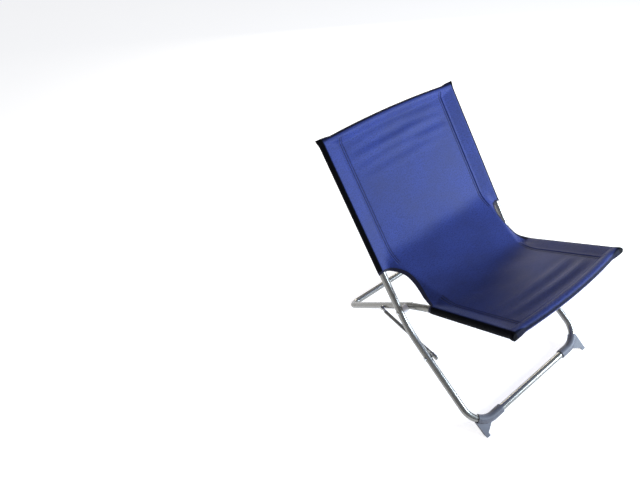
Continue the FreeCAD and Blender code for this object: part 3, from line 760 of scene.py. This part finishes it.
def binding_mesh(form, side):
    """Tape folded over the raw edge of one cut-out and of its pocket ends."""
    path = cut_path(form, side)
    middle = form.back_run + form.waist_run / 2
    width = form.cut.binding
    mesh = bpy.data.meshes.new("binding")
    bm = bmesh.new()
    uv = bm.loops.layers.uv.new("flat")
    offsets = [(1.0, True, 0.0004), (0.55, True, 0.0007), (0.12, True, 0.0007),
               (-0.10, True, 0.0), (-0.10, True, -0.0010),
               (0.12, True, -0.0017), (0.55, True, -0.0017), (1.0, True, -0.0014)]
    rings = []
    run = 0.0
    for index, (x, g) in enumerate(path):
        before = Vector(path[max(0, index - 1)])
        after = Vector(path[min(len(path) - 1, index + 1)])
        way = (after - before)
        way = way.normalized() if way.length > 1e-9 else Vector((0.0, 1.0))
        inward = Vector((-way[1], way[0])) * side
        if index < TURN_STEPS:
            inward = Vector((0.0, -1.0))
        elif index >= len(path) - TURN_STEPS:
            inward = Vector((0.0, 1.0))
        if index:
            run += (Vector((x, g)) - Vector(path[index - 1])).length
        ring = []
        for part, upper, lift in offsets:
            px = x + inward[0] * width * part
            pg = g + inward[1] * width * part
            ring.append(bm.verts.new(form.place(px, pg, upper, lift)))
        rings.append((ring, run))
    for (one, a), (two, b) in zip(rings, rings[1:]):
        for k in range(len(offsets) - 1):
            face = bm.faces.new((one[k], two[k], two[k + 1], one[k + 1]))
            face.smooth = True
            marks = {one[k]: (k * 0.002, a), two[k]: (k * 0.002, b),
                     two[k + 1]: (k * 0.002 + 0.002, b), one[k + 1]: (k * 0.002 + 0.002, a)}
            for loop in face.loops:
                loop[uv].uv = marks[loop.vert]
    outward = sum(1 if f.normal.z > 0 else -1 for f in bm.faces if
                  f.calc_center_median().z > form.place(path[24][0], middle).z)
    if outward < 0:
        bmesh.ops.reverse_faces(bm, faces=list(bm.faces))
    bm.to_mesh(mesh)
    bm.free()
    return mesh


def stitch_rows(form):
    """Every sewn line, as points on the flat cloth; the last four are the hems'."""
    cut = form.cut
    rows = []
    hem = cut.hem - cut.sleeve
    waist_end = form.back_run + form.waist_run
    for side in (-1, 1):
        for inset in (0.0015, 0.0075):
            x = form.lines.half_back + cut.sleeve - cut.pocket - inset
            rows.append([(side * x, 0.006), (side * x, form.back_run - 0.002)])
            x = form.lines.half_seat + cut.sleeve - cut.seat_width - inset
            rows.append([(side * x, waist_end + 0.002), (side * x, form.total - 0.006)])
    for inset in (0.0012, 0.0066):
        x = form.lines.half_back - 0.010
        g = hem + inset
        rows.append([(-x + 2 * x * k / 24, g) for k in range(25)])
        x = form.lines.half_seat - 0.010
        g = form.total - hem - inset
        rows.append([(-x + 2 * x * k / 24, g) for k in range(25)])
    return rows


def stitches_mesh(form):
    """Lock stitches laid along every seam: the pocket seams on both faces of the cloth, the hem
    seams on the turned-in face only.
    """
    mesh = bpy.data.meshes.new("stitches")
    bm = bmesh.new()
    size = form.cut.stitch
    rows = stitch_rows(form)
    for index, row in enumerate(rows):
        faces = (True, False) if index < len(rows) - 4 else (False,)
        whole = sum((Vector(b) - Vector(a)).length for a, b in zip(row, row[1:]))
        count = int(whole / form.cut.pitch)
        marks = []
        for k in range(count):
            left = (k + 0.5) * whole / count
            for a, b in zip(row, row[1:]):
                step = (Vector(b) - Vector(a)).length
                if left <= step:
                    way = (Vector(b) - Vector(a)) / step
                    marks.append((Vector(a) + way * left, way))
                    break
                left -= step
        for spot, way in marks:
            for upper in faces:
                sink = seam_groove(form, spot[0], spot[1]) if upper else 0.0
                middle = form.place(spot[0], spot[1], upper, sink + 0.00012)
                ahead = spot + way * size
                tip = form.place(ahead[0], ahead[1], upper, sink + 0.00012)
                along = (tip - middle).normalized()
                turn = along.to_track_quat("X", "Z").to_matrix().to_4x4()
                shape = Matrix.Diagonal((size / 2, 0.0006, 0.0005, 1.0))
                bmesh.ops.create_icosphere(
                    bm, subdivisions=1, radius=1.0,
                    matrix=Matrix.Translation(middle) @ turn @ shape,
                )
    for face in bm.faces:
        face.smooth = True
    bm.to_mesh(mesh)
    bm.free()
    return mesh


# ---------------------------------------------------------------- operators


class CHAIR_OT_sling(bpy.types.Operator):
    """Hang the sewn sling, its bindings and its stitching on the frames"""

    bl_idname = "camp_chair.sling"
    bl_label = "Sling"

    def execute(self, context):
        scene = context.scene
        finish = scene.chair_finishes
        form = SlingForm(scene.chair_lines, scene.chair_cut)
        # The cloth carries painted shade on the outer faces of the sleeves and hems and in the
        # stitch-line grooves.
        cloth = woven(
            "sling_cloth", tuple(finish.cloth), tuple(finish.cloth_low), 0.0011, 0.24,
            tuple(finish.painted_shade),
        )
        tape = woven("binding_tape", scaled(finish.tape, 1.2), scaled(finish.tape, 0.8), 0.0009, 0.1)
        thread = moulded("sewing_thread", tuple(finish.thread), 0.6, 1500.0, 0.2)
        sling = add_piece("sling", sling_mesh(form), cloth)
        thicken(sling, form.cut.cloth, -1.0)
        bend_with_waist(sling)
        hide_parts("back_fabric", "seat_fabric", "sling_waist")
        for side, word in ((-1, "left"), (1, "right")):
            binding = add_piece("binding_" + word, binding_mesh(form, side), tape)
            bend_with_waist(binding)
        stitches = add_piece("stitches", stitches_mesh(form), thread)
        bend_with_waist(stitches)
        return {"FINISHED"}


class CHAIR_OT_tubes(bpy.types.Operator):
    """Coat the two tube frames, their cross bars and the stays"""

    bl_idname = "camp_chair.tubes"
    bl_label = "Tubes and stays"

    def execute(self, context):
        tint = tuple(context.scene.chair_finishes.silver)
        tubes = coated_tube("frame_tube", tint)
        for name in ("back_frame_tube", "seat_frame_tube", "back_top_bar", "seat_front_bar"):
            give(frame["nodes"][name], tubes)
        stays = coated_tube("stay_steel", scaled(tint, 0.93))
        for name in ("stay_left", "stay_right"):
            give(frame["nodes"][name], stays)
        return {"FINISHED"}


class CHAIR_OT_rivets(bpy.types.Operator):
    """Plate the rivets and studs and colour the washers, spacers and caps"""

    bl_idname = "camp_chair.rivets"
    bl_label = "Rivets, spacers and caps"

    def execute(self, context):
        finish = context.scene.chair_finishes
        steel = plated("rivet_steel", (0.74, 0.74, 0.72))
        nylon = moulded("washer_nylon", (0.62, 0.61, 0.57), 0.45, 700.0, 0.08)
        spacer = moulded("spacer_plastic", tuple(finish.spacer), 0.30, 600.0, 0.05)
        cap = moulded("cap_plastic", tuple(finish.cap), 0.50, 700.0, 0.15)
        for side in ("left", "right"):
            for kind in ("pivot_rivet_", "stay_rivet_", "hook_stud_"):
                give(frame["nodes"][kind + side], steel)
            give(frame["nodes"]["stay_washer_" + side], nylon)
            give(frame["nodes"]["pivot_spacer_" + side], spacer)
            for kind in ("top_cap_", "seat_cap_"):
                give(frame["nodes"][kind + side], cap)
        return {"FINISHED"}


class CHAIR_OT_shoes(bpy.types.Operator):
    """Colour the two plastic floor shoes"""

    bl_idname = "camp_chair.shoes"
    bl_label = "Floor shoes"

    def execute(self, context):
        shoe = moulded("shoe_plastic", tuple(context.scene.chair_finishes.shoe), 0.48, 650.0, 0.16)
        for side in ("left", "right"):
            give(frame["nodes"]["front_shoe_" + side], shoe)
        return {"FINISHED"}


# Name, place, size, power in watts and colour of each soft light.
LIGHTS = (
    ("front_box", (1.95, -1.98, 1.05), (1.2, 0.9), 125.0, (0.72, 0.85, 1.0)),
    ("left_box", (-2.4, -0.8, 1.6), (1.2, 1.2), 4.0, (1.0, 1.0, 1.0)),
    ("top_box", (0.3, 0.4, 2.8), (2.4, 2.4), 10.0, (1.0, 0.84, 0.60)),
    ("back_box", (1.6, 2.1, 0.95), (1.2, 0.6), 22.0, (1.0, 0.93, 0.80)),
)


def soft_light(name, place, target, size, power, tint):
    """A rectangular area light that faces a target."""
    data = bpy.data.lights.new(name, "AREA")
    data.shape = "RECTANGLE"
    data.size = size[0]
    data.size_y = size[1]
    data.energy = power
    data.color = tint
    lamp = bpy.data.objects.new(name, data)
    lamp.location = place
    lamp.rotation_euler = (Vector(target) - Vector(place)).to_track_quat("-Z", "Y").to_euler()
    bpy.context.scene.collection.objects.link(lamp)


class CHAIR_OT_stage(bpy.types.Operator):
    """Set up the floor, the soft studio light and the camera"""

    bl_idname = "camp_chair.stage"
    bl_label = "Stage"

    def execute(self, context):
        scene = context.scene
        stage = scene.chair_stage
        bm = bmesh.new()
        bmesh.ops.create_grid(bm, x_segments=8, y_segments=8, size=9.0)
        bmesh.ops.translate(bm, verts=list(bm.verts), vec=(0.0, 0.0, -0.0004))
        mesh = bpy.data.meshes.new("floor")
        bm.to_mesh(mesh)
        bm.free()
        tint = tuple(stage.floor)
        material, tree, shader = base_material("pale_floor", {
            "Base Color": (*tint, 1), "Roughness": 0.9, "Specular IOR Level": 0.1,
            "Emission Color": (*tint, 1), "Emission Strength": stage.glow,
        })
        place = node(tree, "ShaderNodeTexCoord").outputs["Object"]
        shade = mottled(tree, place, 1.4, 2.0, scaled(tint, 0.985), tint)[1]
        link(tree, shade, shader.inputs["Base Color"])
        floor = add_piece("floor", mesh, material)
        world = bpy.data.worlds.new("studio")
        world.use_nodes = True
        air = world.node_tree.nodes["Background"].inputs
        air["Color"].default_value = (*stage.air, 1)
        air["Strength"].default_value = stage.air_light
        scene.world = world
        scene.view_settings.view_transform = "Standard"
        middle = (0.0, 0.05, 0.35)
        for name, spot, size, power, tint in LIGHTS:
            soft_light(name, spot, middle, size, power, tint)
        data = bpy.data.cameras.new("camera")
        data.sensor_width = 36.0
        data.lens = stage.lens
        data.shift_x = stage.shift_x
        camera = bpy.data.objects.new("camera", data)
        level = math.cos(stage.tilt)
        ahead = Vector((
            math.sin(stage.heading) * level, math.cos(stage.heading) * level,
            -math.sin(stage.tilt),
        ))
        right = Vector((math.cos(stage.heading), -math.sin(stage.heading), 0.0))
        up = right.cross(ahead)
        c, s = math.cos(stage.roll), math.sin(stage.roll)
        right, up = right * c + up * s, up * c - right * s
        turn = Matrix((right, up, -ahead)).transposed().to_4x4()
        camera.matrix_world = Matrix.Translation(stage.eye) @ turn
        scene.collection.objects.link(camera)
        scene.camera = camera
        return {"FINISHED"}


class CHAIR_PT_panel(bpy.types.Panel):
    """Sidebar panel that lists the chair's pieces"""

    bl_label = "Camp Chair"
    bl_idname = "CHAIR_PT_panel"
    bl_space_type = "VIEW_3D"
    bl_region_type = "UI"
    bl_category = "Camp Chair"

    def draw(self, context):
        column = self.layout.column()
        for operator in OPERATORS:
            column.operator(operator.bl_idname)
        for group in (context.scene.chair_finishes, context.scene.chair_cut):
            box = self.layout.box()
            for key in group.__annotations__:
                box.prop(group, key)


GROUPS = {
    "chair_lines": ChairLines,
    "chair_cut": SlingCut,
    "chair_finishes": Finishes,
    "chair_stage": StageSettings,
}
OPERATORS = (CHAIR_OT_stage, CHAIR_OT_tubes, CHAIR_OT_rivets, CHAIR_OT_shoes, CHAIR_OT_sling)


def register():
    for name, group in GROUPS.items():
        bpy.utils.register_class(group)
        setattr(bpy.types.Scene, name, PointerProperty(type=group))
    for operator in OPERATORS:
        bpy.utils.register_class(operator)
    bpy.utils.register_class(CHAIR_PT_panel)


def unregister():
    bpy.utils.unregister_class(CHAIR_PT_panel)
    for operator in reversed(OPERATORS):
        bpy.utils.unregister_class(operator)
    for name, group in GROUPS.items():
        delattr(bpy.types.Scene, name)
        bpy.utils.unregister_class(group)


def main():
    register()
    for operator in OPERATORS:
        family, name = operator.bl_idname.split(".")
        getattr(getattr(bpy.ops, family), name)()
    bpy.context.view_layer.update()


if __name__ == "__main__":
    main()
